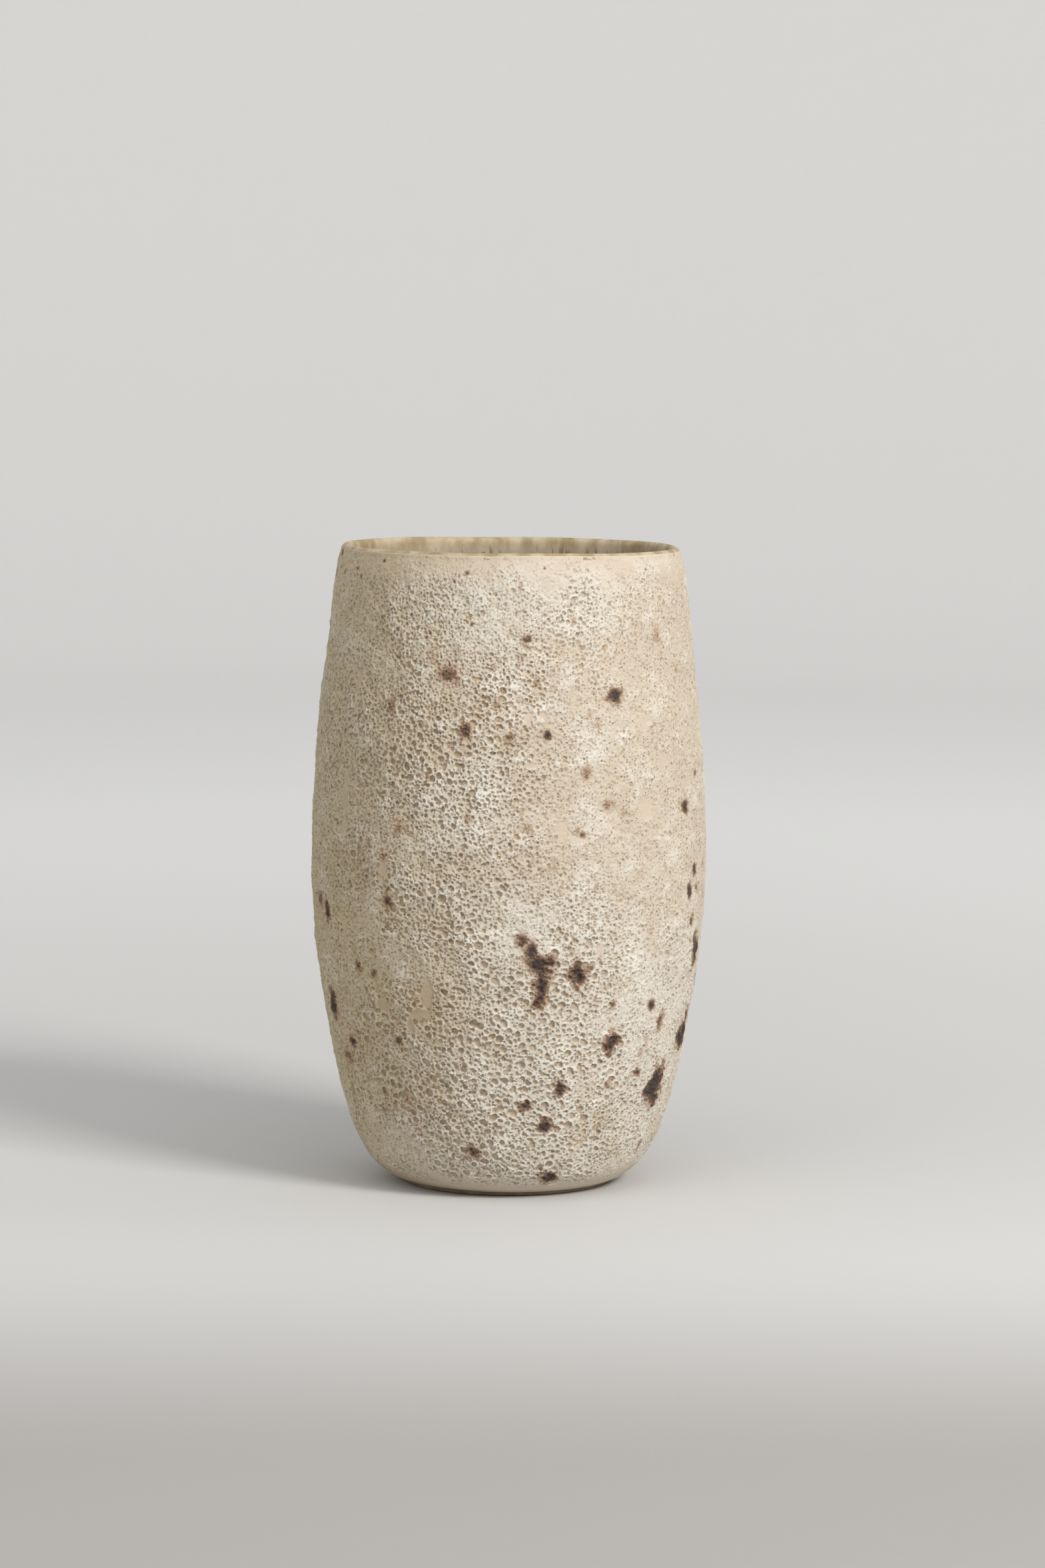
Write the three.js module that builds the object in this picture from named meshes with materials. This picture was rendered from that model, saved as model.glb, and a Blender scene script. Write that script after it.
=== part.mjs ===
// A wheel-thrown stoneware vase: one clay body, a thin slip under-coat outside it, a thick foamed
// crater glaze over the slip, and a smooth liner glaze inside that wraps over the lip.
// Millimetres, +Z up. The origin is the centre of the ring that the vase stands on.
import * as THREE from 'three';

// Driving dimensions
const HEIGHT = 170;
const BELLY_RADIUS = 52.5;
const BELLY_HEIGHT = 87;
const LIP_THICKNESS = 2.6;
const LIP_CREST_RADIUS = 43.7;
const LIP_ROUND_HEIGHT = 1.7;
const FOOT_RADIUS = 28.4;
const FOOT_INNER_RADIUS = 23.5;
const FOOT_EDGE_HEIGHT = 1.1;
const FOOT_CHAMFER = 0.5;
const FOOT_RECESS = 1.6;
const FLOOR_TOP = 8;

// Coats, measured square to the wall
const GLAZE_THICKNESS = 1.2;
const GLAZE_EDGE_THICKNESS = 0.3;
const GLAZE_TAPER_LENGTH = 9;
const GLAZE_BOTTOM = 3;
const GLAZE_TOP = 164.6;
const SLIP_THICKNESS = 0.4;
const LINER_THICKNESS = 0.4;
const COAT_GAP = 0.1;

// How finely the round shapes are cut
const TURNS = 48;
const LIP_STEPS = 6;
const OUTER_STEPS = 18;
const INNER_STEPS = 13;
const END_CROWDING = 0.7;

const lipOuterRadius = LIP_CREST_RADIUS + LIP_THICKNESS / 2;
const lipInnerRadius = LIP_CREST_RADIUS - LIP_THICKNESS / 2;
const lipBase = HEIGHT - LIP_ROUND_HEIGHT;

// The finished outside, from the trimmed foot edge to the start of the rounded lip: [radius, height]
const OUTSIDE = [
  [FOOT_RADIUS + 0.3, FOOT_EDGE_HEIGHT],
  [33.7, 3.5],
  [38.9, 10.2],
  [43.4, 22],
  [47.6, 41],
  [51.4, 65],
  [BELLY_RADIUS, BELLY_HEIGHT],
  [51.6, 112],
  [49.4, 136],
  [46.9, 157],
  [46.1, 164],
  [lipOuterRadius, lipBase],
];

// The finished inside, from the start of the rounded lip down to the middle of the floor
const INSIDE = [
  [lipInnerRadius, lipBase],
  [42.6, 157],
  [44.6, 136],
  [46.8, 112],
  [47.6, 88],
  [46.3, 64],
  [42.6, 41],
  [37.4, 24],
  [29.5, 12.6],
  [16, 8.7],
  [0, FLOOR_TOP],
];

/** A smooth curve through [radius, height] pairs, cut into steps that get shorter towards its ends. */
function sampleOutline(pairs, steps) {
  const points = pairs.map(([radius, height]) => new THREE.Vector3(radius, height, 0));
  const curve = new THREE.CatmullRomCurve3(points, false, 'centripetal');
  const samples = [];
  for (let i = 0; i <= steps; i += 1) {
    const even = i / steps;
    const crowded = (1 - Math.cos(Math.PI * even)) / 2;
    const p = curve.getPointAt(THREE.MathUtils.lerp(even, crowded, END_CROWDING));
    samples.push(new THREE.Vector2(p.x, p.y));
  }
  return samples;
}

/** The rounded top of the lip, from its outer side over the crest to its inner side. */
function lipCrest() {
  const crest = [];
  for (let i = 1; i < LIP_STEPS; i += 1) {
    const angle = (Math.PI * i) / LIP_STEPS;
    const radius = LIP_CREST_RADIUS + (LIP_THICKNESS / 2) * Math.cos(angle);
    crest.push(new THREE.Vector2(radius, lipBase + LIP_ROUND_HEIGHT * Math.sin(angle)));
  }
  return crest;
}

/** The outline moved into the clay, each point by its own depth, square to the outline. */
function sink(outline, depthAt) {
  return outline.map((point, i) => {
    const before = outline[Math.max(i - 1, 0)];
    const after = outline[Math.min(i + 1, outline.length - 1)];
    const along = after.clone().sub(before).normalize();
    const inward = new THREE.Vector2(-along.y, along.x);
    return point.clone().addScaledVector(inward, depthAt(point, i));
  });
}

/** How thick the crater glaze is at a height: thin at its two edges, full between them. */
function glazeThickness(height) {
  const fromEdge = Math.min(height - GLAZE_BOTTOM, GLAZE_TOP - height);
  const rise = THREE.MathUtils.smoothstep(fromEdge, 0, GLAZE_TAPER_LENGTH);
  return THREE.MathUtils.lerp(GLAZE_EDGE_THICKNESS, GLAZE_THICKNESS, rise);
}

/** Turns a closed outline, listed anticlockwise in [radius, height], about the +Z axis. */
function turn(outline) {
  const geometry = new THREE.LatheGeometry(outline, TURNS);
  geometry.rotateX(Math.PI / 2);
  return geometry;
}

/** A skin between an outer and an inner outline that run the same way. */
function turnSkin(outer, inner) {
  return turn([...outer, ...inner.slice().reverse(), outer[0]]);
}

function named(name, geometry, color, roughness) {
  const material = new THREE.MeshStandardMaterial({ color, roughness, metalness: 0 });
  const mesh = new THREE.Mesh(geometry, material);
  mesh.name = name;
  return mesh;
}

// One line right round the wall: up the outside, over the lip, down the inside to the floor's middle
const outside = sampleOutline(OUTSIDE, OUTER_STEPS);
const inside = sampleOutline(INSIDE, INNER_STEPS);
const slipTop = outside[outside.length - 1].clone().lerp(outside[outside.length - 2], 0.04);
const wall = [...outside.slice(0, -1), slipTop, outside[outside.length - 1], ...lipCrest(), ...inside];
const slipEnd = outside.length;
const glazeStart = wall.findIndex((point) => point.y >= GLAZE_BOTTOM);
const glazeEnd = outside.findLastIndex((point) => point.y <= GLAZE_TOP) + 1;

const isGlazed = (i) => i >= glazeStart && i < glazeEnd;
const slipFaceDepth = (point, i) => (isGlazed(i) ? glazeThickness(point.y) + COAT_GAP : 0);
const clayDepth = (point, i) => {
  const coat = i < slipEnd ? SLIP_THICKNESS : LINER_THICKNESS;
  return slipFaceDepth(point, i) + coat + COAT_GAP;
};

const slipFace = sink(wall, slipFaceDepth);
const slipBack = sink(wall, (point, i) => slipFaceDepth(point, i) + SLIP_THICKNESS);
const glazeBack = sink(wall, (point) => glazeThickness(point.y));
const linerBack = sink(wall, () => LINER_THICKNESS);
const clayFace = sink(wall, clayDepth);

function makeClayBody() {
  const underside = [
    new THREE.Vector2(0, FOOT_RECESS),
    new THREE.Vector2(FOOT_INNER_RADIUS - FOOT_RECESS, FOOT_RECESS),
    new THREE.Vector2(FOOT_INNER_RADIUS, 0),
    new THREE.Vector2(FOOT_RADIUS - FOOT_CHAMFER, 0),
    new THREE.Vector2(FOOT_RADIUS, FOOT_CHAMFER),
    new THREE.Vector2(FOOT_RADIUS, FOOT_EDGE_HEIGHT),
  ];
  clayFace[clayFace.length - 1].x = 0;
  return named('clay_body', turn([...underside, ...clayFace]), '#7a5a41', 0.9);
}

function makeBaseSlip() {
  const skin = turnSkin(slipFace.slice(1, slipEnd), slipBack.slice(1, slipEnd));
  return named('base_slip', skin, '#d3bd9e', 0.8);
}

function makeCraterGlaze() {
  const skin = turnSkin(wall.slice(glazeStart, glazeEnd), glazeBack.slice(glazeStart, glazeEnd));
  return named('crater_glaze', skin, '#d8cfba', 0.85);
}

function makeLinerGlaze() {
  const face = wall.slice(slipEnd);
  const back = linerBack.slice(slipEnd);
  back[back.length - 1].x = 0;
  return named('liner_glaze', turn([...back.slice().reverse(), ...face]), '#b3a883', 0.35);
}

const vase = new THREE.Group();
vase.add(makeClayBody(), makeBaseSlip(), makeCraterGlaze(), makeLinerGlaze());

export default vase;
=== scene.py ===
import math

import bpy
import numpy as np
from mathutils import Matrix, Vector


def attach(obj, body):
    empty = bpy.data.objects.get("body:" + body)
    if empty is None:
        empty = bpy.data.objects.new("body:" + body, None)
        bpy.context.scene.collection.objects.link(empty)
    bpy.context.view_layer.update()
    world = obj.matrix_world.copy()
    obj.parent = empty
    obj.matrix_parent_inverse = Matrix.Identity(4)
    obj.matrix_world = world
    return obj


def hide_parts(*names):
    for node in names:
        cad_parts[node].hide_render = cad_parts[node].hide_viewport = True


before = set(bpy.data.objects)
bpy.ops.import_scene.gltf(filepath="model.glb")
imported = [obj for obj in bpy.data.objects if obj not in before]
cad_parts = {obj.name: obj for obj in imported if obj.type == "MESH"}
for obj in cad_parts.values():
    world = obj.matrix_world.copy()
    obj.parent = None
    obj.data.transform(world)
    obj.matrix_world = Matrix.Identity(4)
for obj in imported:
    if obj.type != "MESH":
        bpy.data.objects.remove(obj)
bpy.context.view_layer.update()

MM = 0.001
SEED = 227
UV_MAP = "OFBake"

# Mesh pitch, in columns round the vase and millimetres along its outline
GLAZE_COLUMNS = 1600
GLAZE_STEP = 0.21
PLAIN_COLUMNS = 288
PLAIN_STEP = 0.7

# How far the hand-thrown shape wanders from the turned one, in millimetres
WOBBLE = 0.22
RIM_TILT = math.radians(0.3)
RIM_TILT_START = 120.0

# Points worked out between two points of an outline, before it is cut to an even pitch
CURVE_CUTS = 64

# Where the crater glaze thins out, in millimetres above the table
FOOT_BAND = (1.5, 9.0)
LIP_BAND = (160.0, 169.0)

# The heights that the glaze coat is cut off at, and the height over which it runs out to nothing there
GLAZE_ENDS = (2.9, 169.6)
END_FADE = 1.2

# How far the glaze dips at its low and at its high end, and over what height, in millimetres
LOW_DIP = (0.4, 0.9)
HIGH_DIP = (0.3, 0.5)

# How far the back of each coat lies behind its face, in millimetres, and the rows on the glaze's back
GLAZE_BACK = 1.6
THIN_COAT = 0.4
GLAZE_BACK_ROWS = 24

# Circles closer than SAME_RING are one; a coat's open face is farther than FACE_GAP from the layer
# beneath; and clay closer than LINER_NEAR to the liner is under it, all in millimetres
SAME_RING = 0.03
FACE_GAP = 0.2
LINER_NEAR = 0.6

# The liner's circles past this radius and height are the outside of the lip
LIP_OUTSIDE = (43.8, 168.5)

# Where the slip starts, on the edge of the foot, as radius and height
SLIP_START = (28.75, 1.0)

# Crater radii in millimetres, largest first, each with the share of its places that burst in fine
# glaze, how much more burst in coarse glaze, and where on the scale of coarseness that change lies
CRATER_SIZES = [
    (1.10, 0.00, 0.15, 0.80, 1.05),
    (0.86, 0.00, 0.28, 0.62, 0.95),
    (0.68, 0.04, 0.36, 0.48, 0.84),
    (0.54, 0.08, 0.36, 0.30, 0.68),
    (0.43, 0.14, 0.34, 0.14, 0.50),
    (0.34, 0.24, 0.20, 0.00, 0.35),
    (0.26, 0.42, 0.00, 0.00, 1.00),
]

# The top of the vase in millimetres, and its middle in metres
VASE_TOP = 170.0
VASE_MIDDLE = Vector((0, 0, VASE_TOP / 2 * MM))


# ---------------------------------------------------------------- outlines from the frame

def rings(node):
    """The circles that a turned CAD node is made of, as rows of (radius, height) in millimetres."""
    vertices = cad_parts[node].data.vertices
    places = np.empty(len(vertices) * 3)
    vertices.foreach_get("co", places)
    x, y, z = places.reshape(-1, 3).T / MM
    found = np.unique(np.round(np.stack([np.hypot(x, y), z], 1), 2), axis=0)
    kept = []
    for ring in found:
        if all(np.hypot(*(ring - other)) > SAME_RING for other in kept):
            kept.append(ring)
    return np.array(kept)


def gaps_to(points, others):
    """How far each (radius, height) point is from the nearest of the others, in millimetres."""
    return np.hypot(*(points[:, None] - others[None]).transpose(2, 0, 1)).min(1)


def face_rings(node, beneath):
    """The circles on a coat's open face: those that don't lie against the layer beneath."""
    coat = rings(node)
    return coat[gaps_to(coat, rings(beneath)) > FACE_GAP]


def walked(points, start):
    """The points in the order met by going from the start to the nearest one left, again and again."""
    left = [tuple(p) for p in points]
    here = min(left, key=lambda p: math.dist(p, start))
    order = []
    while left:
        here = min(left, key=lambda p: math.dist(p, here))
        left.remove(here)
        order.append(here)
    return np.array(order)


def smooth_line(points, step):
    """A centripetal Catmull-Rom curve through (radius, height) points, cut every step millimetres."""
    points = np.asarray(points, float)
    ends = [2 * points[0] - points[1], *points, 2 * points[-1] - points[-2]]
    dense = [points[:1]]
    for p0, p1, p2, p3 in zip(ends, ends[1:], ends[2:], ends[3:]):
        t = np.cumsum([0, *(math.dist(a, b) ** 0.5 for a, b in ((p0, p1), (p1, p2), (p2, p3)))])
        u = np.linspace(t[1], t[2], CURVE_CUTS + 1)[1:, None]
        a1 = (t[1] - u) / (t[1] - t[0]) * p0 + (u - t[0]) / (t[1] - t[0]) * p1
        a2 = (t[2] - u) / (t[2] - t[1]) * p1 + (u - t[1]) / (t[2] - t[1]) * p2
        a3 = (t[3] - u) / (t[3] - t[2]) * p2 + (u - t[2]) / (t[3] - t[2]) * p3
        b1 = (t[2] - u) / (t[2] - t[0]) * a1 + (u - t[0]) / (t[2] - t[0]) * a2
        b2 = (t[3] - u) / (t[3] - t[1]) * a2 + (u - t[1]) / (t[3] - t[1]) * a3
        dense.append((t[2] - u) / (t[2] - t[1]) * b1 + (u - t[1]) / (t[2] - t[1]) * b2)
    line = np.concatenate(dense)
    length = np.concatenate([[0], np.cumsum(np.hypot(*np.diff(line, axis=0).T))])
    even = np.linspace(0, length[-1], max(int(round(length[-1] / step)), 2) + 1)
    return np.stack([np.interp(even, length, line[:, i]) for i in range(2)], 1)


def normals_of(line):
    """Unit normals of a line of (radius, height) points; they point away from the axis on the way up."""
    along = np.gradient(line, axis=0)
    along /= np.maximum(np.hypot(*along.T), 1e-9)[:, None]
    return np.stack([along[:, 1], -along[:, 0]], 1)


# ---------------------------------------------------------------- noise and craters on a rolled-out sheet

class Sheet:
    """The outside of the vase rolled out: rows run up the outline, columns run round it."""

    def __init__(self, line, columns):
        self.columns = columns
        self.turn = 2 * math.pi / columns
        self.step = math.dist(line[0], line[1])
        self.radius = line[:, 0]
        self.height = line[:, 1]
        self.shape = (len(line), columns)
        # Column 0 is at the back, so the seam is out of the first view.
        self.azimuth = (np.arange(columns) * self.turn) - math.pi

    def noise(self, seed, size, octaves=1):
        """Smooth noise with features of about size millimetres; mean 0, spread 1."""
        random = np.random.default_rng(SEED + seed)
        down = np.fft.fftfreq(self.shape[0], self.step)[:, None]
        across = np.fft.rfftfreq(self.columns, self.turn * self.radius.mean())[None]
        total = np.zeros(self.shape)
        for octave in range(octaves):
            width = size / 2 ** octave
            keep = np.exp(-((down ** 2 + across ** 2) * width ** 2) * 4)
            white = np.fft.rfft2(random.standard_normal(self.shape))
            layer = np.fft.irfft2(white * keep, self.shape)
            total += layer / layer.std() * 0.55 ** octave
        return total / total.std()

    def blob(self, azimuth, height, width, tall, ragged, raggedness):
        """1 at the middle of a soft spot and 0 at its edge, which a noise sheet makes ragged."""
        around = (self.azimuth - math.radians(azimuth) + math.pi) % (2 * math.pi) - math.pi
        x = around[None] * self.radius[:, None] / (width / 2)
        y = ((self.height - height) / (tall / 2))[:, None]
        return np.clip(1.0 - np.hypot(x, y) + raggedness * ragged, 0, 1)


def rise(value, low, high):
    """0 below low, 1 above high, and a smooth turn between."""
    t = np.clip((value - low) / (high - low), 0, 1)
    return t * t * (3 - 2 * t)


class Craters:
    """Burst bubbles, stamped on a sheet from the largest to the smallest."""

    # The places where a bubble may burst are this many radii apart
    SPREAD = 2.1

    # A crater's parts, as shares of its radius
    BOWL_EDGE = 1.02
    RIM_AT, RIM_WIDTH = 1.09, 0.14
    # The ring on a bowl's wall where shade is painted
    WALL_AT, WALL_WIDTH = 0.88, 0.13
    CLEARANCE = 0.95
    REACH = 1.4

    # How many points of the sheet are worked on at once
    BATCH = 3_000_000

    def __init__(self, sheet, strength):
        self.sheet = sheet
        self.strength = strength
        self.floor = np.zeros(sheet.shape)
        self.rim = np.zeros(sheet.shape)
        # The shade painted on the crater walls
        self.wall = np.zeros(sheet.shape)
        self.taken = np.zeros(sheet.shape)
        # Bubbles burst out of round, so the sheet is bent by this many millimetres, up and along.
        self.bend = [
            0.085 * sheet.noise(20 + way, 1.0, 2) + 0.12 * sheet.noise(22 + way, 4.0)
            for way in range(2)
        ]
        self.random = np.random.default_rng(SEED)

    def at(self, field, row, column):
        """A field's values at the nearest points to these rows and columns."""
        rows = np.clip(np.round(row).astype(int), 0, self.sheet.shape[0] - 1)
        return field[rows, np.round(column).astype(int) % self.sheet.columns]

    def scatter(self, size):
        """Row and column of jittered places for craters of one radius, evenly over the real surface."""
        sheet = self.sheet
        cell = self.SPREAD * size
        rows = int(sheet.shape[0] * sheet.step / cell)
        places = []
        for i in range(rows):
            row = (i + 0.5) * cell / sheet.step
            radius = sheet.radius[min(int(row), sheet.shape[0] - 1)]
            count = max(int(2 * math.pi * radius / cell), 3)
            column = (np.arange(count) + 0.5 * (i % 2)) * sheet.columns / count
            jitter = self.random.uniform(-0.46, 0.46, (2, count)) * cell
            places.append(np.stack([
                np.clip(row + jitter[0] / sheet.step, 0, sheet.shape[0] - 1),
                column + jitter[1] / (sheet.turn * radius),
            ]))
        return np.concatenate(places, 1)

    def clear(self, row, column, size):
        """True where no larger crater reaches into a circle of this size."""
        free = self.at(self.taken, row, column) < 0.5
        radius = self.at(self.sheet.radius[:, None] * np.ones(self.sheet.columns), row, column)
        for angle in np.arange(6) * math.pi / 3:
            up = self.CLEARANCE * size * math.sin(angle) / self.sheet.step
            along = self.CLEARANCE * size * math.cos(angle) / (self.sheet.turn * radius)
            free &= self.at(self.taken, row + up, column + along) < 0.5
        return free

    def stamp(self, row, column, size, depth, rim, wall_shade, flat, stretch, lean):
        """Presses bowls with raised rims. size is a radius, depth how deep the floor lies and rim how
        high the rim stands, in millimetres. wall_shade is how dark the shade painted on the wall round the
        floor is, flat the floor's share of the radius, and stretch how much longer the bowl is along the
        angle lean."""
        sheet = self.sheet
        reach = self.REACH * size.max() * stretch.max() + 0.2
        tall = int(math.ceil(reach / sheet.step))
        wide = int(math.ceil(reach / (sheet.turn * sheet.radius.min())))
        down, across = np.meshgrid(np.arange(-tall, tall + 1), np.arange(-wide, wide + 1), indexing="ij")
        batches = max(1, len(row) * down.size // self.BATCH)
        for part in np.array_split(np.arange(len(row)), batches):
            r, c = row[part, None, None], column[part, None, None]
            rows = np.round(r).astype(int) + down
            columns = np.round(c).astype(int) + across
            inside = (rows >= 0) & (rows < sheet.shape[0])
            rows = np.clip(rows, 0, sheet.shape[0] - 1)
            where = rows * sheet.columns + columns % sheet.columns
            y = (rows - r) * sheet.step + self.bend[0].ravel()[where]
            x = (columns - c) * sheet.turn * sheet.radius[rows] + self.bend[1].ravel()[where]
            turned, wide_by = lean[part, None, None], stretch[part, None, None]
            u = (x * np.cos(turned) + y * np.sin(turned)) / wide_by
            v = (y * np.cos(turned) - x * np.sin(turned)) * wide_by
            out = np.hypot(u, v) / size[part, None, None]
            # The glaze ran down as it froze: the upper wall of a bowl is the steep one, and the shade
            # painted on the wall is darkest there, on the side turned from the light above.
            above = y / (np.hypot(x, y) + 0.05)
            bowl = -depth[part, None, None] * (1 - rise(out, flat + 0.10 * above, self.BOWL_EDGE))
            at_rim = np.exp(-(((out - self.RIM_AT) / self.RIM_WIDTH) ** 2))
            at_wall_shade = np.exp(-(((out - self.WALL_AT) / self.WALL_WIDTH) ** 2))
            lip = rim[part, None, None] * at_rim
            # Painted shade: a dark ring round the floor, darker on the upper wall
            wall = wall_shade[part, None, None] * (0.65 + 0.35 * above) * at_wall_shade
            where, out = where[inside], out[inside]
            np.minimum.at(self.floor.reshape(-1), where, bowl[inside])
            np.maximum.at(self.rim.reshape(-1), where, lip[inside])
            np.maximum.at(self.wall.reshape(-1), where, wall[inside])
            np.maximum.at(self.taken.reshape(-1), where, (out < self.BOWL_EDGE).astype(float))

    def burst(self, size, share):
        """One generation of bubbles of about one radius, where the share and the room allow them."""
        row, column = self.scatter(size)
        grown = self.random.uniform(0.80, 1.22, len(row))
        chance = self.at(share, row, column) > self.random.random(len(row))
        keep = chance & self.clear(row, column, size * grown)
        row, column, grown = row[keep], column[keep], grown[keep]
        strength = self.at(self.strength, row, column) * self.random.uniform(0.6, 1.15, len(row))
        stretch = 1 + np.abs(self.random.normal(0, 0.13, len(row)))
        lean = self.random.normal(-0.9, 0.7, len(row))
        depth = strength * (0.22 + 0.36 * size)
        rim = strength * (0.06 + 0.08 * size)
        # How dark the shade painted on the wall is: more in larger craters
        wall_shade = strength * float(rise(size, 0.22, 0.60)) * self.random.uniform(0.45, 1.25, len(row))
        flat = 0.22 + 0.5 * min(size, 1.0) ** 0.5
        self.stamp(row, column, size * grown, depth, rim, wall_shade, flat, stretch, lean)


# ---------------------------------------------------------------- meshes

def wander(azimuth, height):
    """The hand-thrown wander of the wall, outward, in millimetres, the same for every layer."""
    slow = np.sin(2 * azimuth + 0.6 + height / 70) + 0.6 * np.sin(3 * azimuth - height / 40 + 2.0)
    bands = 0.35 * np.sin(height / 5.2 + 0.8 * np.sin(azimuth)) * np.sin(height / 31 + 1.0)
    ease = rise(height, 2.0, 25.0)
    return WOBBLE * (0.45 * slow + bands) * ease


def lift(azimuth, radius, height):
    """How the lip stands out of level, in millimetres; it dies away down the wall."""
    down = -radius * np.sin(azimuth) * math.tan(RIM_TILT)
    uneven = 0.12 * np.sin(3 * azimuth + 1.0) + 0.07 * np.sin(7 * azimuth)
    return (down + uneven) * rise(height, RIM_TILT_START, VASE_TOP)


def revolve(name, line, columns, relief=None, closed=False):
    """A mesh from an outline turned about Z. relief moves its points along their normals, in millimetres.
    A closed outline joins its own start; any other runs from the axis to the axis."""
    azimuth = np.arange(columns) * (2 * math.pi / columns) - math.pi
    across = normals_of(line)
    move = np.zeros((len(line), columns))
    if relief is not None:
        move[:len(relief)] = relief
    radius = line[:, :1] + across[:, :1] * move
    height = line[:, 1:] + across[:, 1:] * move
    radius = radius + wander(azimuth[None], height) * rise(line[:, :1], 0.0, 12.0)
    height = height + lift(azimuth[None], radius, height)
    places = np.stack([radius * np.sin(azimuth), -radius * np.cos(azimuth), height], 2)
    return grid_mesh(name, places, closed)


def grid_mesh(name, places, closed):
    """Quads over rows of points that join round. The last row meets the first when closed;
    otherwise both end rows lie on the axis, and each becomes one point with a fan of triangles."""
    rows, columns = places.shape[:2]
    points = places.reshape(-1, 3)
    last = rows if closed else rows - 1
    row, column = np.meshgrid(np.arange(last), np.arange(columns), indexing="ij")
    corner_rows = np.stack([row, row, row + 1, row + 1], 2)
    corner_columns = np.stack([column, column + 1, column + 1, column], 2)
    fans = ()
    if not closed:
        # The end rows have no size, so their quads give way to triangles to one point each.
        fans = (
            (corner_rows[:1, :, 1:], corner_columns[:1, :, 1:]),
            (corner_rows[-1:, :, :3], corner_columns[-1:, :, :3]),
        )
        corner_rows, corner_columns = corner_rows[1:-1], corner_columns[1:-1]
    used_rows, used_columns = [corner_rows.ravel()], [corner_columns.ravel()]
    sizes = [np.full(corner_rows[..., 0].size, 4)]
    for fan_rows, fan_columns in fans:
        used_rows.append(fan_rows.ravel())
        used_columns.append(fan_columns.ravel())
        sizes.append(np.full(columns, 3))
    all_rows, all_columns = np.concatenate(used_rows), np.concatenate(used_columns)
    sizes = np.concatenate(sizes)
    ends = () if closed else (0, rows - 1)
    pole = np.isin(all_rows, ends)
    vertex = (all_rows % rows) * columns + np.where(pole, 0, all_columns % columns)
    used, loops = np.unique(vertex, return_inverse=True)
    mesh = bpy.data.meshes.new(name)
    mesh.vertices.add(len(used))
    mesh.vertices.foreach_set("co", (points[used] * MM).astype(np.float32).ravel())
    mesh.loops.add(len(loops))
    mesh.loops.foreach_set("vertex_index", loops.astype(np.int32))
    mesh.polygons.add(len(sizes))
    mesh.polygons.foreach_set("loop_start", (np.cumsum(sizes) - sizes).astype(np.int32))
    mesh.update(calc_edges=True)
    mesh.polygons.foreach_set("use_smooth", np.ones(len(sizes), bool))
    # The turned sheet unrolls into one square: columns across, rows up.
    unrolled = np.stack([all_columns / columns, all_rows / last], 1)
    mesh.uv_layers.new(name=UV_MAP).data.foreach_set("uv", unrolled.astype(np.float32).ravel())
    made = bpy.data.objects.new(name, mesh)
    bpy.context.scene.collection.objects.link(made)
    return made


def paint(made, **fields):
    """Writes per-point numbers that the material reads. Points past the end of a field get 0: they
    are on the back of the coat."""
    for name, field in fields.items():
        values = np.zeros(len(made.data.vertices), np.float32)
        values[:field.size] = field.ravel()
        made.data.attributes.new(name, "FLOAT", "POINT").data.foreach_set("value", values)


def hand_over(made, material, node):
    """Gives a piece its material, hides the frame's node that it stands for, and puts it in the frame's
    root body.
    """
    made.data.materials.append(material)
    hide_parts(node)
    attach(made, "root")


# ---------------------------------------------------------------- where the glaze differs
# Every place is (azimuth in degrees, height above the table in mm, how wide and how tall in mm, how much).
# Azimuth 0 is the side that faces the viewer, -Y, and it grows towards +X.

COARSE_AREAS = [
    (-2, 36, 84, 92, 0.62),
    (24, 66, 40, 56, 0.32),
    (-27, 112, 50, 80, 0.30),
    (3, 140, 40, 40, 0.10),
    (66, 112, 96, 150, -0.30),
    (-72, 90, 52, 150, 0.10),
    (22, 110, 44, 60, -0.16),
    (-10, 152, 110, 40, 0.06),
    (170, 70, 120, 110, 0.45),
]
PALE_AREAS = [
    (25, 156, 30, 22, 0.55),
    (-22, 160, 34, 12, 0.45),
    (-11, 106, 18, 34, 0.45),
    (28, 74, 40, 50, 0.35),
    (50, 40, 60, 60, 0.35),
    (62, 134, 80, 90, -0.45),
    (50, 90, 60, 60, -0.25),
    (10, 104, 24, 60, -0.35),
    (-22, 134, 60, 40, -0.25),
    (-26, 52, 34, 26, -0.6),
    (0, 8, 130, 26, 0.75),
    (4, 40, 60, 60, 0.25),
]
OLIVE_AREAS = [
    (-66, 50, 60, 80, 0.25),
    (-30, 52, 30, 26, 0.30),
    (150, 60, 70, 100, 0.35),
]
BARE_PATCHES = [
    (5, 128, 3.4, 4.6, 0.8),
    (10, 128.5, 2.8, 2.6, 0.6),
    (6, 116, 4.2, 2.2, 0.7),
    (16, 107, 2.2, 12.0, 0.5),
    (15.5, 99, 3.4, 8.0, 0.8),
    (42, 104, 6.5, 8.0, 0.5),
    (51, 115, 5.0, 7.0, 0.45),
    (44, 126, 4.5, 6.0, 0.4),
    (-55, 105, 4.5, 17.0, 0.7),
    (-52, 139, 4.0, 14.0, 0.6),
    (-25, 56, 5.0, 7.0, 0.9),
    (-28, 50, 9.0, 3.6, 0.9),
    (-31, 47, 3.6, 8.0, 0.7),
    (-40, 52, 6.0, 3.6, 0.7),
    (56, 80, 6.0, 7.0, 0.5),
    (47, 75, 5.0, 5.0, 0.4),
    (27, 68, 3.0, 3.6, 0.6),
    (-38, 88, 4.0, 5.0, 0.35),
]
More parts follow.
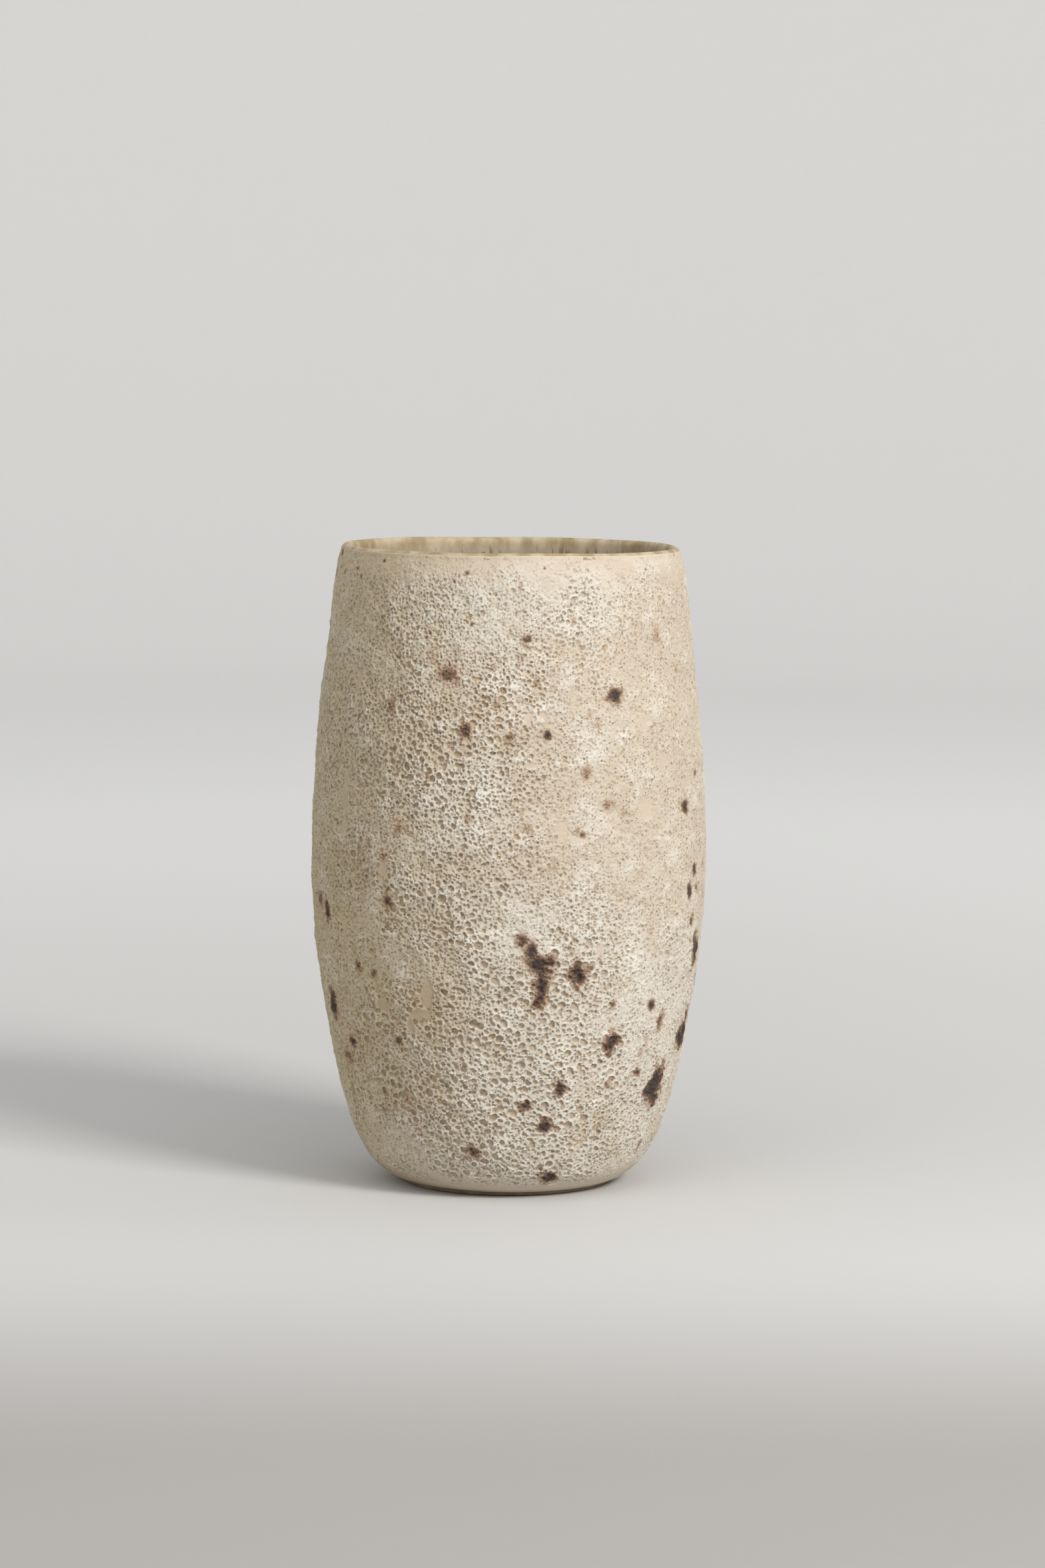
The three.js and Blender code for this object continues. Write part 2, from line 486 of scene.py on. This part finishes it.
IRON_SPOTS = [
    (5, 148, 4.4, 4.4, 0.80),
    (3, 143, 4.0, 4.0, 0.35),
    (-19, 139, 9.0, 9.0, 0.62),
    (-38, 130, 4.8, 6.0, 0.85),
    (33, 134, 6.4, 7.4, 1.30),
    (-4, 131, 4.0, 3.6, 0.65),
    (-13, 125, 4.6, 5.4, 0.80),
    (0, 123, 3.8, 4.0, 0.60),
    (11, 124, 3.6, 3.6, 1.15),
    (24, 129, 4.4, 4.0, 0.32),
    (29, 105, 4.6, 5.4, 0.45),
    (62, 103, 5.6, 7.4, 1.15),
    (21, 98, 2.8, 2.8, 0.80),
    (-33, 99, 5.0, 5.0, 0.55),
    (4.5, 71, 4.6, 5.6, 0.90),
    (6.5, 68, 6.0, 9.0, 0.95),
    (9, 64.5, 10.0, 9.0, 1.05),
    (12.5, 65, 8.0, 6.0, 0.95),
    (9.5, 61, 6.4, 20.0, 0.95),
    (9.5, 55.5, 4.8, 8.0, 0.85),
    (21, 62, 8.0, 8.4, 1.30),
    (33, 53, 3.6, 3.6, 0.80),
    (49, 52, 4.2, 4.2, 0.90),
    (55, 47, 4.6, 6.0, 0.85),
    (34, 43, 7.8, 8.2, 1.30),
    (59, 29, 11.0, 14.5, 1.45),
    (47, 34, 3.8, 3.6, 0.75),
    (77, 41, 12.0, 12.5, 1.45),
    (75, 64, 9.5, 13.0, 1.35),
    (65, 80, 4.2, 7.5, 0.90),
    (71, 81, 4.6, 4.4, 0.75),
    (69, 86, 4.0, 4.6, 0.95),
    (68, 72, 4.6, 8.0, 0.85),
    (86, 54, 6.5, 9.0, 1.10),
    (17, 32, 5.8, 5.8, 1.05),
    (6, 27, 5.8, 5.6, 1.05),
    (13.5, 21, 5.4, 5.4, 1.00),
    (18, 6.5, 7.0, 4.4, 1.25),
    (-12, 14, 6.4, 6.0, 0.70),
    (60, 12, 2.6, 6.0, 0.90),
    (-66, 74.5, 5.4, 9.0, 1.25),
    (-72, 77, 6.4, 6.4, 0.60),
    (-70, 49.5, 6.8, 11.0, 1.35),
    (-50, 61.5, 4.2, 5.0, 0.85),
    (-43, 60.5, 4.4, 4.4, 1.10),
    (-59, 40, 4.4, 5.0, 0.90),
    (-64, 35.5, 7.0, 6.0, 0.55),
    (-36, 43, 4.0, 4.0, 0.85),
    (-37, 80, 4.6, 5.4, 0.85),
    (-38, 91.5, 4.0, 4.0, 0.65),
    (76, 105, 3.0, 3.0, 0.80),
    (71, 111, 3.0, 3.0, 0.70),
    (-80, 168.0, 4.4, 3.4, 1.35),
    (-70, 163.4, 1.8, 1.8, 0.80),
    (-60, 164.6, 1.6, 1.6, 0.80),
    (-57, 163.0, 1.8, 1.8, 0.85),
    (-46, 167.0, 1.6, 1.6, 0.95),
    (-31, 167.2, 1.6, 1.6, 0.95),
    (-14, 165.0, 1.6, 1.6, 0.70),
    (-18, 162.8, 1.6, 1.6, 0.45),
    (11, 166.2, 1.5, 1.5, 0.60),
    (50, 165.6, 1.5, 1.5, 0.70),
    (-12, 152.0, 1.8, 1.8, 0.80),
]
SPOTS_ROUND_THE_BACK = 52
FAINT_SPOTS = 120


def shaped(sheet, base, areas, edge):
    """A field made from soft areas added to a base."""
    total = base.copy()
    for azimuth, height, width, tall, amount in areas:
        spot = sheet.blob(azimuth, height, width, tall, edge, 0.22)
        total += amount * rise(spot, 0.0, 0.55)
    return total


def patches(sheet, areas, edge, raggedness):
    """The strongest of several soft spots at each place."""
    total = np.zeros(sheet.shape)
    for azimuth, height, width, tall, amount in areas:
        spot = sheet.blob(azimuth, height, width, tall, edge, raggedness)
        total = np.maximum(total, amount * spot)
    return total


def random_spots():
    """Iron spots out of the first view, and faint ones all over."""
    random = np.random.default_rng(SEED + 9)
    spots = []
    for _ in range(SPOTS_ROUND_THE_BACK):
        azimuth = random.uniform(92, 278)
        width = random.choice([3.6, 4.4, 5.2, 7.0, 10.0], p=[0.3, 0.3, 0.2, 0.14, 0.06])
        tall = width * random.uniform(0.9, 1.5)
        spots.append((azimuth, random.uniform(8, 152), width, tall, random.uniform(0.6, 1.3)))
    for _ in range(FAINT_SPOTS):
        width = random.uniform(1.8, 5.0)
        tall = width * random.uniform(0.8, 1.5)
        azimuth = random.uniform(0, 360)
        spots.append((azimuth, random.uniform(8, 163), width, tall, random.uniform(0.22, 0.5)))
    return spots


# ---------------------------------------------------------------- the four coats

def finished_outside():
    """The finished outline from the foot edge to the top of the lip, from the frame's own circles."""
    slip = face_rings("base_slip", "clay_body")
    glaze = face_rings("crater_glaze", "base_slip")
    margin = 0.1
    low, high = glaze[:, 1].min() - margin, glaze[:, 1].max() + margin
    bands = slip[(slip[:, 1] < low) | (slip[:, 1] > high)]
    lip = face_rings("liner_glaze", "clay_body")
    lip = lip[(lip > LIP_OUTSIDE).all(1)]
    points = np.concatenate([bands, glaze, lip])
    return points[np.argsort(points[:, 1])]


def crater_relief(sheet, strength, coarse, share):
    """The glaze's craters, each radius where the glaze is coarse enough for it."""
    craters = Craters(sheet, strength)
    for size, least, more, fine_below, coarse_above in CRATER_SIZES:
        wanted = least + more * rise(coarse, fine_below, coarse_above)
        craters.burst(size, wanted * share)
    return craters


def thickness(sheet, edge):
    """How thick the glaze lies, from 0 to 1: thinner at the foot and the lip, and nothing at its ends."""
    height = sheet.height[:, None]
    ragged_height = height + 1.6 * edge
    at_foot, at_lip = rise(ragged_height, *FOOT_BAND), rise(ragged_height, *LIP_BAND)
    low_end, high_end = GLAZE_ENDS
    thick = (0.30 + 0.70 * at_foot) * (1 - 0.65 * at_lip)
    thick *= rise(height, low_end, low_end + END_FADE) * (1 - rise(height, high_end - END_FADE, high_end))
    return thick


def bare_share(sheet):
    """Where the slip shows through: the patches that can be seen, and random ones further round."""
    patch = patches(sheet, BARE_PATCHES, sheet.noise(11, 3.6, 2), 0.24)
    out_of_view = rise(np.abs(sheet.azimuth), 1.4, 1.7)
    at_random = rise(sheet.noise(5, 5.0, 2), 2.4, 3.1) * out_of_view
    return np.clip(rise(patch, 0.03, 0.42) + at_random, 0, 1)


def tucked_ends(sheet):
    """How far the glaze dips below its outline at its two cut ends, so that no step shows there."""
    (low_depth, low_run), (high_depth, high_run) = LOW_DIP, HIGH_DIP
    at_low = 1 - rise(sheet.height[:, None] - GLAZE_ENDS[0], 0.0, low_run)
    at_high = 1 - rise(GLAZE_ENDS[1] - sheet.height[:, None], 0.0, high_run)
    return low_depth * at_low + high_depth * at_high


def make_crater_glaze():
    """The cratered coat: a fine face with real relief, and a plain back that closes it."""
    line = smooth_line(finished_outside(), GLAZE_STEP)
    line = line[(line[:, 1] >= GLAZE_ENDS[0]) & (line[:, 1] <= GLAZE_ENDS[1])]
    sheet = Sheet(line, GLAZE_COLUMNS)
    edge = sheet.noise(1, 7.0, 3)
    thick = thickness(sheet, edge)
    bare = bare_share(sheet)
    worked = thick * (1 - bare)

    coarse = shaped(sheet, 0.40 + 0.12 * sheet.noise(3, 26.0, 3), COARSE_AREAS, edge)
    pale = shaped(sheet, 0.5 + 0.14 * sheet.noise(4, 14.0, 3), PALE_AREAS, edge)
    olive = np.clip(shaped(sheet, 0.04 * sheet.noise(10, 16.0, 3), OLIVE_AREAS, edge), -0.1, 1)
    stain = patches(sheet, IRON_SPOTS + random_spots(), sheet.noise(2, 2.2, 3), 0.16)

    strength = (0.50 + 0.55 * rise(coarse, 0.05, 0.6)) * thick * (1 - 0.95 * bare)
    craters = crater_relief(sheet, strength, coarse, worked)

    # What the material reads is from 0 to 1, and the relief is in millimetres.
    pit = rise(-craters.floor, 0.07, 0.32)
    # The shade painted on the crater walls, from 0 to 1
    wall = np.clip(craters.wall, 0, 1)
    raised = craters.rim * (1 - rise(-craters.floor, 0.02, 0.2))
    lumps = 0.10 * sheet.noise(6, 5.0, 2) + 0.065 * sheet.noise(7, 1.5, 2)
    crumbs = 0.034 * sheet.noise(8, 0.55, 2)
    relief = craters.floor + raised + (lumps + crumbs) * (0.15 + 0.85 * worked)
    relief += 0.08 + 0.04 * thick - 0.20 * bare * thick
    relief -= tucked_ends(sheet)
    # Whiter raised rims: the thick glaze's own white, and partly a painted highlight where light catches
    # them
    ridge = rise(raised + 0.4 * (lumps + crumbs) * thick, 0.02, 0.13) * (1 - pit)
    ridge *= 0.45 + 0.55 * rise(coarse, 0.1, 0.6)

    behind = np.stack([sheet.radius - GLAZE_BACK, sheet.height], 1)[::-1]
    behind = behind[::len(behind) // GLAZE_BACK_ROWS]
    made = revolve("crater_glaze_coat", np.concatenate([line, behind]), GLAZE_COLUMNS, relief, closed=True)
    paint(made, pit=pit, wall=wall, ridge=ridge, worked=worked, stain=stain, pale=pale, olive=olive)
    hand_over(made, crater_glaze_material(), "crater_glaze")


def make_base_slip():
    """The slip lies under the glaze and shows at the edge of the foot. Its top end is under the lip."""
    face = face_rings("base_slip", "clay_body")
    face = face[np.argsort(face[:, 1])]
    under_lip = face[-1] + 0.2 * (face[-1] - face[-2]) - (0.25, 0)
    face = smooth_line(np.concatenate([[SLIP_START], face, [under_lip]]), PLAIN_STEP)
    back = (face - THIN_COAT * normals_of(face))[::-1][::4]
    made = revolve("base_slip_coat", np.concatenate([face, back]), PLAIN_COLUMNS, closed=True)
    hand_over(made, slip_material(), "base_slip")


def make_liner_glaze():
    """The liner starts under the top of the slip, just below the lip, and runs over the lip and down
    to the middle of the floor."""
    slip = face_rings("base_slip", "clay_body")
    top, next_down = slip[np.argsort(slip[:, 1])][[-1, -2]]
    lap = top + 0.35 * (next_down - top) - (0.16, 0)
    far_outside = (100.0, 160.0)
    face = walked(face_rings("liner_glaze", "clay_body"), far_outside)
    face = smooth_line(np.concatenate([[lap], face]), PLAIN_STEP)
    back = (face - THIN_COAT * normals_of(face))[::-4]
    back[0, 0] = 0
    made = revolve("liner_glaze_coat", np.concatenate([back, face]), PLAIN_COLUMNS)
    hand_over(made, liner_material(), "liner_glaze")


def make_clay_body():
    """The wall and foot: along the underside, up the outside, over the lip and down the inside."""
    clay = rings("clay_body")
    under_liner = gaps_to(clay, rings("liner_glaze")) < LINER_NEAR
    outside = walked(clay[~under_liner], (0.0, 0.0))
    inside = walked(clay[under_liner], outside[-1] + (0.0, 4.0))
    line = smooth_line(np.concatenate([outside, inside]), PLAIN_STEP)
    # The curve swings a little under the table at the foot ring.
    line[:, 1] = np.maximum(line[:, 1], 0.0)
    made = revolve("clay_wall_and_foot", line, PLAIN_COLUMNS)
    hand_over(made, clay_material(), "clay_body")


# ---------------------------------------------------------------- materials

class Nodes:
    """A short way to write a material's node tree."""

    def __init__(self, name):
        self.material = bpy.data.materials.new(name)
        self.material.use_nodes = True
        self.tree = self.material.node_tree
        self.shader = self.tree.nodes["Principled BSDF"]
        self.coordinates = self.tree.nodes.new("ShaderNodeTexCoord").outputs["Object"]

    def put(self, socket, value):
        """Links an output to a socket, or sets the socket's own value."""
        if isinstance(value, bpy.types.NodeSocket):
            self.tree.links.new(value, socket)
        else:
            socket.default_value = value

    def stretched(self, stretch):
        node = self.tree.nodes.new("ShaderNodeVectorMath")
        node.operation = "MULTIPLY"
        self.put(node.inputs[0], self.coordinates)
        self.put(node.inputs[1], stretch)
        return node.outputs[0]

    def noise(self, size_mm, detail=2.0, roughness=0.55, stretch=(1, 1, 1)):
        """Noise with features of about this many millimetres, from 0 to 1."""
        node = self.tree.nodes.new("ShaderNodeTexNoise")
        self.put(node.inputs["Vector"], self.stretched(stretch))
        self.put(node.inputs["Scale"], 1 / (size_mm * MM))
        self.put(node.inputs["Detail"], detail)
        self.put(node.inputs["Roughness"], roughness)
        return node.outputs["Fac"]

    def pinholes(self, apart_mm, share, widest):
        """Round holes of many sizes in a share of the cells of a foam: 1 in a hole, 0 outside.
        apart_mm is the width of a cell, and widest the largest radius as a share of it."""
        node = self.tree.nodes.new("ShaderNodeTexVoronoi")
        self.put(node.inputs["Vector"], self.coordinates)
        self.put(node.inputs["Scale"], 1 / (apart_mm * MM))
        split = self.tree.nodes.new("ShaderNodeSeparateColor")
        self.put(split.inputs[0], node.outputs["Color"])
        radius = self.remap(split.outputs[0], 1.0 - share, 1.0, -0.1, widest)
        return self.remap(self.math("SUBTRACT", radius, node.outputs["Distance"]), -0.02, 0.08)

    def field(self, name):
        """Numbers that paint() wrote on the mesh."""
        node = self.tree.nodes.new("ShaderNodeAttribute")
        node.attribute_name = name
        return node.outputs["Fac"]

    def math(self, kind, a, b=0.0, c=0.0):
        node = self.tree.nodes.new("ShaderNodeMath")
        node.operation = kind
        for socket, value in zip(node.inputs, (a, b, c)):
            self.put(socket, value)
        return node.outputs[0]

    def times(self, a, b):
        return self.math("MULTIPLY", a, b)

    def shaken(self, value, noise, amount):
        """The value moved up or down by a noise about its middle."""
        return self.math("MULTIPLY_ADD", self.math("SUBTRACT", noise, 0.5), amount, value)

    def remap(self, value, low, high, to_low=0.0, to_high=1.0):
        node = self.tree.nodes.new("ShaderNodeMapRange")
        node.interpolation_type = "SMOOTHSTEP"
        for socket, number in zip(node.inputs, (value, low, high, to_low, to_high)):
            self.put(socket, number)
        return node.outputs[0]

    def mix(self, share, a, b):
        node = self.tree.nodes.new("ShaderNodeMix")
        node.data_type = "RGBA"
        self.put(node.inputs[0], share)
        self.put(node.inputs[6], a if isinstance(a, bpy.types.NodeSocket) else (*a, 1))
        self.put(node.inputs[7], b if isinstance(b, bpy.types.NodeSocket) else (*b, 1))
        return node.outputs[2]

    def along(self, axis):
        """The place along an axis in millimetres: 0 for X, 1 for Y, 2 for Z."""
        node = self.tree.nodes.new("ShaderNodeSeparateXYZ")
        self.put(node.inputs[0], self.coordinates)
        return self.math("DIVIDE", node.outputs[axis], MM)

    def off_axis(self):
        """How far a place is from the axis of the vase, in millimetres."""
        node = self.tree.nodes.new("ShaderNodeVectorMath")
        node.operation = "LENGTH"
        self.put(node.inputs[0], self.stretched((1, 1, 0)))
        return self.math("DIVIDE", node.outputs["Value"], MM)

    def olive_and_side_shade(self):
        """How olive and dark the glaze is painted: more and more towards -X, the side turned away from the
        key light, so it is partly painted shade and partly the glaze's own olive tint.
        """
        cloudy_x = self.shaken(self.along(0), self.noise(14.0, 3.0), 16.0)
        return self.remap(cloudy_x, 14.0, -52.0)

    def bump(self, height, distance_mm, normal=None):
        node = self.tree.nodes.new("ShaderNodeBump")
        self.put(node.inputs["Height"], height)
        self.put(node.inputs["Distance"], distance_mm * MM)
        self.put(node.inputs["Strength"], 1.0)
        if normal is not None:
            self.put(node.inputs["Normal"], normal)
        return node.outputs[0]

    def finish(self, color, roughness, normal):
        self.put(self.shader.inputs["Base Color"], color)
        self.put(self.shader.inputs["Roughness"], roughness)
        self.put(self.shader.inputs["Normal"], normal)
        return self.material


CREAM = (0.69, 0.64, 0.55)
# The white of thick glaze on the ridges, partly a painted highlight
RIDGE_WHITE_AND_HIGHLIGHT = (0.83, 0.795, 0.72)
WARM_TAN = (0.60, 0.515, 0.405)
CRATER_FLOOR = (0.48, 0.35, 0.20)
RUSTY_FLOOR = (0.39, 0.26, 0.15)
# The colour painted into hollows as shade: crater walls and pinholes
PAINTED_HOLLOW_SHADE = (0.15, 0.09, 0.045)
# Colours for the side away from the key light: partly the glaze's own olive, partly painted shade
OLIVE_TAN_AND_SHADE = (0.53, 0.44, 0.285)
OLIVE_FLOOR_AND_SHADE = (0.34, 0.255, 0.14)
BARE_SLIP = (0.62, 0.51, 0.395)
# The slip's colour on the side away from the key light: partly its own brown, partly painted shade
BROWN_SLIP_AND_SHADE = (0.47, 0.36, 0.235)
RUST = (0.38, 0.23, 0.13)
IRON_BROWN = (0.125, 0.066, 0.038)
IRON_BLACK = (0.034, 0.026, 0.024)
LINER_SHADE = (0.37, 0.31, 0.21)
LINER_LIGHT = (0.48, 0.425, 0.325)
LINER_RUNS = (0.17, 0.095, 0.05)
LIP_BROWN = (0.34, 0.25, 0.13)
LIP_TAN = (0.54, 0.44, 0.30)
CLAY_DARK = (0.27, 0.19, 0.125)
CLAY_LIGHT = (0.36, 0.265, 0.175)
CLAY_GRIT = (0.45, 0.36, 0.26)
FLOOR_NEAR = (0.595, 0.587, 0.573)
# Painted light: the far floor and wall are paler, where the lamps reach less
FLOOR_FAR_PAINTED_LIGHT = (0.89, 0.885, 0.87)
FLOOR_FRONT = (0.37, 0.355, 0.342)
DAYLIGHT = (0.97, 0.98, 1.0)


def ground(n, pale, olive_and_painted_shade, fine, cloud):
    """The colour of the glaze between its craters, and of the slip that shows at its edges. It grows olive
    and darker in the olive patches and towards the side away from the key light, where the darkening is
    painted shade.
    """
    wash = n.shaken(n.shaken(pale, cloud, 0.9), fine, 0.7)
    color = n.mix(n.remap(wash, 0.1, 0.9), WARM_TAN, CREAM)
    return n.mix(n.times(olive_and_painted_shade, 0.8), color, OLIVE_TAN_AND_SHADE)


def crater_glaze_material():
    n = Nodes("crater_glaze")
    fine, grain = n.noise(0.8, 3.0), n.noise(0.26, 2.0)
    cloud, blush = n.noise(7.0, 4.0), n.noise(1.7, 1.0)
    pit, wall, ridge, worked = (n.field(f) for f in ("pit", "wall", "ridge", "worked"))
    # Olive patches, plus painted shade: darker and more olive towards -X, away from the key light
    olive_and_painted_shade = n.math("ADD", n.olive_and_side_shade(), n.field("olive"))
    holes = n.times(n.pinholes(0.74, 0.55, 0.42), worked)
    specks = n.times(n.pinholes(0.42, 0.40, 0.40), worked)

    # White ridges, partly a painted highlight, and brown crater floors on the ground, then rust and
    # painted shade on the crater walls
    color = ground(n, n.field("pale"), olive_and_painted_shade, fine, cloud)
    # Ridges whiten less towards the side away from the key light, where less highlight is painted
    color = n.mix(n.times(ridge, n.remap(olive_and_painted_shade, 0.2, 1.0, 0.8, 0.35)), color, RIDGE_WHITE_AND_HIGHLIGHT)
    floor = n.mix(n.remap(blush, 0.3, 0.7), CRATER_FLOOR, n.mix(olive_and_painted_shade, RUSTY_FLOOR, OLIVE_FLOOR_AND_SHADE))
    color = n.mix(n.times(pit, n.remap(fine, 0.3, 0.7, 0.72, 0.42)), color, floor)
    rusty = n.times(n.remap(n.noise(5.0, 4.0), 0.53, 0.72), n.remap(fine, 0.42, 0.62))
    # More rust towards the side away from the key light, part of the painted shade there
    color = n.mix(n.times(rusty, n.remap(olive_and_painted_shade, 0.0, 1.0, 0.25, 0.55)), color, RUST)
    # Painted shade on the crater walls
    color = n.mix(n.times(wall, 0.58), color, PAINTED_HOLLOW_SHADE)

    # The slip where the glaze is thin, and pinholes where it is thick, with shade painted into the
    # pinholes
    thin = n.math("SUBTRACT", 1.0, worked)
    color = n.mix(n.times(thin, 0.8), color, n.mix(olive_and_painted_shade, BARE_SLIP, BROWN_SLIP_AND_SHADE))
    color = n.mix(n.times(holes, 0.62), color, n.mix(0.55, floor, PAINTED_HOLLOW_SHADE))
    color = n.mix(n.times(specks, 0.6), color, PAINTED_HOLLOW_SHADE)

    # Iron spots: a rusty halo, brown inside it, and nearly black in the middle
    spot = n.field("stain")
    stain = n.shaken(n.shaken(spot, fine, 0.45), grain, 0.75)
    stain = n.times(stain, n.remap(spot, 0.0, 0.10))
    color = n.mix(n.remap(stain, 0.02, 0.40, 0.0, 0.70), color, RUST)
    color = n.mix(n.remap(stain, 0.28, 0.66, 0.0, 0.90), color, IRON_BROWN)
    color = n.mix(n.remap(stain, 0.58, 0.98, 0.0, 0.88), color, IRON_BLACK)

    dry = n.math("ADD", n.times(fine, 0.5), n.times(stain, -0.35))
    normal = n.bump(holes, -0.16, n.bump(fine, 0.16))
    normal = n.bump(specks, -0.10, n.bump(grain, 0.07, normal))
    n.put(n.shader.inputs["Specular IOR Level"], 0.35)
    return n.finish(color, n.remap(dry, -0.1, 0.4, 0.5, 0.85), normal)


def slip_material():
    n = Nodes("slip")
    fine, grain, cloud = n.noise(0.8, 3.0), n.noise(0.26, 2.0), n.noise(7.0, 4.0)
    # Darker and more olive towards -X, away from the key light: painted shade, partly the slip's own olive
    olive_and_painted_shade = n.olive_and_side_shade()
    color = ground(n, 0.5, olive_and_painted_shade, fine, cloud)
    color = n.mix(0.4, color, n.mix(olive_and_painted_shade, BARE_SLIP, BROWN_SLIP_AND_SHADE))
    # Pinholes with shade painted into them
    color = n.mix(n.times(n.pinholes(0.6, 0.3, 0.35), 0.5), color, PAINTED_HOLLOW_SHADE)
    normal = n.bump(grain, 0.06, n.bump(fine, 0.10))
    return n.finish(color, n.remap(fine, 0.3, 0.7, 0.6, 0.85), normal)


def liner_material():
    """Olive glaze with brown runs down the inside, and a drier tan where it lies over the lip."""
    n = Nodes("liner_glaze")
    height = n.along(2)
    cloud, fine = n.noise(6.0, 3.0, 0.6, (1, 1, 0.5)), n.noise(0.8, 3.0)
    wall = n.mix(n.remap(cloud, 0.3, 0.7), LINER_SHADE, LINER_LIGHT)
    lip = n.mix(n.remap(cloud, 0.35, 0.65), LIP_BROWN, LIP_TAN)
    level = n.shaken(height, cloud, 3.0)
    streaks = n.noise(1.7, 2.0, 0.6, (1, 1, 0.16))
    runs = n.times(n.remap(streaks, 0.56, 0.66), n.remap(level, 150.0, 164.0))
    wall = n.mix(n.times(runs, 0.7), wall, LINER_RUNS)
    color = n.mix(n.remap(level, 165.6, 168.4), wall, lip)
    color = n.mix(n.remap(n.noise(2.2, 2.0), 0.66, 0.74, 0.0, 0.8), color, RUST)
    color = n.mix(n.remap(n.noise(1.1, 2.0), 0.70, 0.76, 0.0, 0.8), color, IRON_BROWN)
    drier = n.remap(height, 166.0, 168.5, 0.0, 0.32)
    roughness = n.math("ADD", n.remap(fine, 0.3, 0.7, 0.24, 0.42), drier)
    return n.finish(color, roughness, n.bump(fine, 0.03, n.bump(cloud, 0.25)))


def clay_material():
    n = Nodes("bare_clay")
    grain, cloud = n.noise(0.4, 4.0), n.noise(4.0, 3.0)
    color = n.mix(n.remap(cloud, 0.3, 0.7), CLAY_DARK, CLAY_LIGHT)
    color = n.mix(n.remap(grain, 0.55, 0.75, 0.0, 0.6), color, CLAY_GRIT)
    return n.finish(color, n.remap(grain, 0.3, 0.7, 0.75, 0.95), n.bump(grain, 0.08))


# ---------------------------------------------------------------- stage, lights and camera

# Every light has a name, its azimuth and elevation in degrees, its distance and size in metres, its
# power in watts and its colour.
LIGHTS = [
    ("key", 43, 34, 1.9, 0.56, 27.5, (1.0, 0.99, 0.97)),
    ("above_front", 0, 60, 1.5, 1.2, 5.0, (1.0, 1.0, 1.0)),
    ("left_fill", -48, 25, 1.5, 1.2, 3.2, (0.98, 0.99, 1.0)),
]
ROOM_LIGHT = 0.51


def floor_material():
    """Paper that pales away from the vase, painted light where the lamps reach less, and darkens towards
    the viewer.
    """
    n = Nodes("floor_paper")
    cloud = n.noise(260.0, 2.0)
    near = n.mix(cloud, FLOOR_NEAR, [c + 0.02 for c in FLOOR_NEAR])
    # Painted light: paler away from the vase, where the lamps give less light
    color = n.mix(n.remap(n.off_axis(), 60.0, 1000.0), near, FLOOR_FAR_PAINTED_LIGHT)
    color = n.mix(n.remap(n.along(1), -90.0, -330.0), color, FLOOR_FRONT)
    return n.finish(color, 0.85, n.bump(n.noise(1.5, 2.0), 0.02))


def make_stage():
    """A pale floor that sweeps up into a round wall, so far out that the viewer can walk round the
    vase. Sizes are in metres."""
    flat, reach, bend, top, sides = 0.4, 1.6, 0.6, 1.7, 96
    turn = np.linspace(0, math.pi / 2, 17)
    sweep = zip(reach + bend * np.sin(turn), bend - bend * np.cos(turn))
    profile = [(flat, 0.0), *sweep, (reach + bend, top)]
    around = np.arange(sides) * (2 * math.pi / sides)
    points = [(0, 0, 0)] + [(r * math.sin(a), -r * math.cos(a), z) for r, z in profile for a in around]
    faces = [(0, 1 + i, 1 + (i + 1) % sides) for i in range(sides)]
    for ring in range(len(profile) - 1):
        low, high = 1 + ring * sides, 1 + (ring + 1) * sides
        for i in range(sides):
            after = (i + 1) % sides
            faces.append((low + i, high + i, high + after, low + after))
    mesh = bpy.data.meshes.new("floor")
    mesh.from_pydata(points, [], faces)
    mesh.polygons.foreach_set("use_smooth", np.ones(len(faces), bool))
    floor = bpy.data.objects.new("floor", mesh)
    bpy.context.scene.collection.objects.link(floor)
    mesh.materials.append(floor_material())


def area_light(name, azimuth, elevation, distance, size, power, color):
    """A square soft box that looks at the middle of the vase. Azimuth 0 is the viewer's side."""
    data = bpy.data.lights.new(name, "AREA")
    data.shape = "SQUARE"
    data.size = size
    data.energy = power
    data.color = color
    light = bpy.data.objects.new(name, data)
    around, up = math.radians(azimuth), math.radians(elevation)
    away = Vector((math.sin(around) * math.cos(up), -math.cos(around) * math.cos(up), math.sin(up)))
    light.location = VASE_MIDDLE + away * distance
    light.rotation_euler = away.to_track_quat("Z", "Y").to_euler()
    light.visible_camera = False
    bpy.context.scene.collection.objects.link(light)


def make_lights():
    for light in LIGHTS:
        area_light(*light)
    world = bpy.data.worlds.new("room")
    world.use_nodes = True
    background = world.node_tree.nodes["Background"]
    background.inputs["Color"].default_value = (*DAYLIGHT, 1)
    background.inputs["Strength"].default_value = ROOM_LIGHT
    bpy.context.scene.world = world


def make_camera():
    """The viewer stands a little above the lip, with a long lens; the frame leans by half a degree."""
    distance, height = 1.304, 0.2376
    aim = Vector((0.0035, 0.0, 0.1062))
    roll = math.radians(0.42)
    data = bpy.data.cameras.new("camera")
    data.sensor_fit = "VERTICAL"
    data.sensor_height = 36.0
    data.lens = 112.8
    camera = bpy.data.objects.new("camera", data)
    camera.location = (0.0, -distance, height)
    look = (aim - camera.location).to_track_quat("-Z", "Y").to_matrix()
    camera.rotation_euler = (look @ Matrix.Rotation(roll, 3, "Z")).to_euler()
    bpy.context.scene.collection.objects.link(camera)
    bpy.context.scene.camera = camera


def main():
    make_camera()
    make_lights()
    make_stage()
    make_crater_glaze()
    make_base_slip()
    make_liner_glaze()
    make_clay_body()
    bpy.context.scene.view_settings.view_transform = "Standard"


main()
